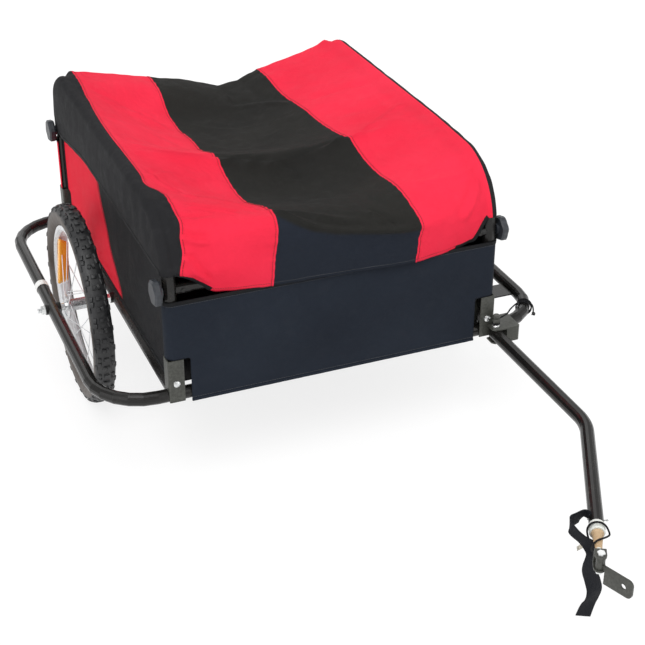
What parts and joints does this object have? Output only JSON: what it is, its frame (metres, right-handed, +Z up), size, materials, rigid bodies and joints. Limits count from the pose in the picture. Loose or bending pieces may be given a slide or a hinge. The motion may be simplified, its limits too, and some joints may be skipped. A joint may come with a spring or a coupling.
{
  "type": "bike cargo trailer",
  "caption": "Flatbed cargo trailer for a bicycle: tube frame with folding side hoops, fabric walls, lift-off cover, spoked wheels inside guard rails and a swinging tow arm with a hitch.",
  "frame": {"origin": "bottom centre of the trailer's box, on the floor under the wheels", "axes": "+Z up, -Y forward to the tow arm's hitch, +X the trailer's left side, where the tow arm is"},
  "size_m": [0.952, 1.5768, 0.5579],
  "materials": {
    "frame_black": "gloss",
    "bracket_black": "satin",
    "zinc": "bright zinc plate",
    "knob_plastic": "satin",
    "floor_grey": "matte",
    "navy_cloth": "woven, coated",
    "red_cloth": "woven, coated",
    "black_cloth": "woven, coated",
    "tyre_rubber": "knobby",
    "rim_white": "gloss",
    "hub_steel": "polished",
    "amber_lens": "clear gloss",
    "band_white": "satin",
    "rubber_tan": "matte",
    "nylon_white": "satin",
    "webbing_black": "woven webbing",
    "cord_black": "braided"
  },
  "bodies": {
    "frame": {"front_rail": "frame_black", "rear_rail": "frame_black", "side_rail_right": "frame_black", "side_rail_left": "frame_black", "floor_bar": "frame_black", "floor_board": "floor_grey", "wheel_guard_right": "frame_black", "wheel_guard_left": "frame_black", "side_brace": "frame_black", "guard_band": "band_white", "corner_bracket_front_right": "bracket_black", "corner_bracket_front_left": "bracket_black", "corner_bracket_rear_right": "bracket_black", "corner_bracket_rear_left": "bracket_black", "hinge_pin_front_right": "zinc", "hinge_pin_front_left": "zinc", "hinge_pin_rear_right": "zinc", "hinge_pin_rear_left": "zinc", "side_hoop_right": "frame_black", "side_hoop_left": "frame_black", "cross_bar_front": "frame_black", "cross_bar_rear": "frame_black", "front_panel": "navy_cloth", "rear_panel": "red_cloth", "side_panel_right": "black_cloth", "side_panel_left": "black_cloth", "axle_right": "zinc", "axle_left": "zinc", "lock_nut_right": "zinc", "lock_nut_left": "zinc", "axle_nut_right": "zinc", "axle_nut_left": "zinc", "tow_bracket": "bracket_black", "pivot_bush": "zinc", "lanyard": "cord_black"},
    "wheel_right": {"tyre_right": "tyre_rubber", "spoked_rim_right": "rim_white", "hub_right": "hub_steel", "spoke_reflector_right": "amber_lens"},
    "wheel_left": {"tyre_left": "tyre_rubber", "spoked_rim_left": "rim_white", "hub_left": "hub_steel", "spoke_reflector_left": "amber_lens"},
    "knob_front_right": {"knob_front_right": "knob_plastic"},
    "knob_front_left": {"knob_front_left": "knob_plastic"},
    "knob_rear_right": {"knob_rear_right": "knob_plastic"},
    "knob_rear_left": {"knob_rear_left": "knob_plastic"},
    "tow_arm": {"tow_arm": "frame_black", "coupler_collar": "nylon_white", "collar_clip": "zinc", "safety_strap": "webbing_black"},
    "pull_pin": {"pull_pin": "bracket_black"},
    "coupler": {"coupler_rod": "nylon_white", "coupler_cone": "rubber_tan", "coupler_yoke": "bracket_black", "yoke_bolt": "zinc"},
    "hitch": {"hitch_plate": "bracket_black"},
    "cover": {"cover": "red_cloth"}
  },
  "joints": [
    {"name": "wheel_spin_right", "type": "hinge", "parent": "frame", "child": "wheel_right", "pos_m": [-0.39, 0.36926, 0.203], "axis": [1, 0, 0], "continuous": true},
    {"name": "wheel_spin_left", "type": "hinge", "parent": "frame", "child": "wheel_left", "pos_m": [0.39, 0.36926, 0.203], "axis": [1, 0, 0], "continuous": true},
    {"name": "knob_turn_front_right", "type": "hinge", "parent": "frame", "child": "knob_front_right", "pos_m": [-0.3262, -0.02574, 0.4165], "axis": [1, 0, 0], "continuous": true},
    {"name": "knob_turn_front_left", "type": "hinge", "parent": "frame", "child": "knob_front_left", "pos_m": [0.3262, -0.02574, 0.4165], "axis": [1, 0, 0], "continuous": true},
    {"name": "knob_turn_rear_right", "type": "hinge", "parent": "frame", "child": "knob_rear_right", "pos_m": [-0.3262, 0.76426, 0.4165], "axis": [1, 0, 0], "continuous": true},
    {"name": "knob_turn_rear_left", "type": "hinge", "parent": "frame", "child": "knob_rear_left", "pos_m": [0.3262, 0.76426, 0.4165], "axis": [1, 0, 0], "continuous": true},
    {"name": "tow_arm_swing", "type": "hinge", "parent": "frame", "child": "tow_arm", "pos_m": [0.3255, -0.05454, 0.203], "axis": [0, 0, -1], "range_deg": [0, 65]},
    {"name": "pull_pin_lift", "type": "slide", "parent": "frame", "child": "pull_pin", "axis": [0, 0, 1], "range_m": [0, 0.05]},
    {"name": "coupler_twist", "type": "hinge", "parent": "tow_arm", "child": "coupler", "pos_m": [0.18985, -0.6468, 0.203], "axis": [-0.4695, -0.8829, 0], "range_deg": [-45, 45]},
    {"name": "hitch_swivel", "type": "hinge", "parent": "coupler", "child": "hitch", "pos_m": [0.1469, -0.72758, 0.203], "axis": [0, 0, 1], "range_deg": [-100, 30]},
    {"name": "cover_lift", "type": "slide", "parent": "frame", "child": "cover", "axis": [0, 0, 1], "range_m": [0, 0.25]}
  ]
}
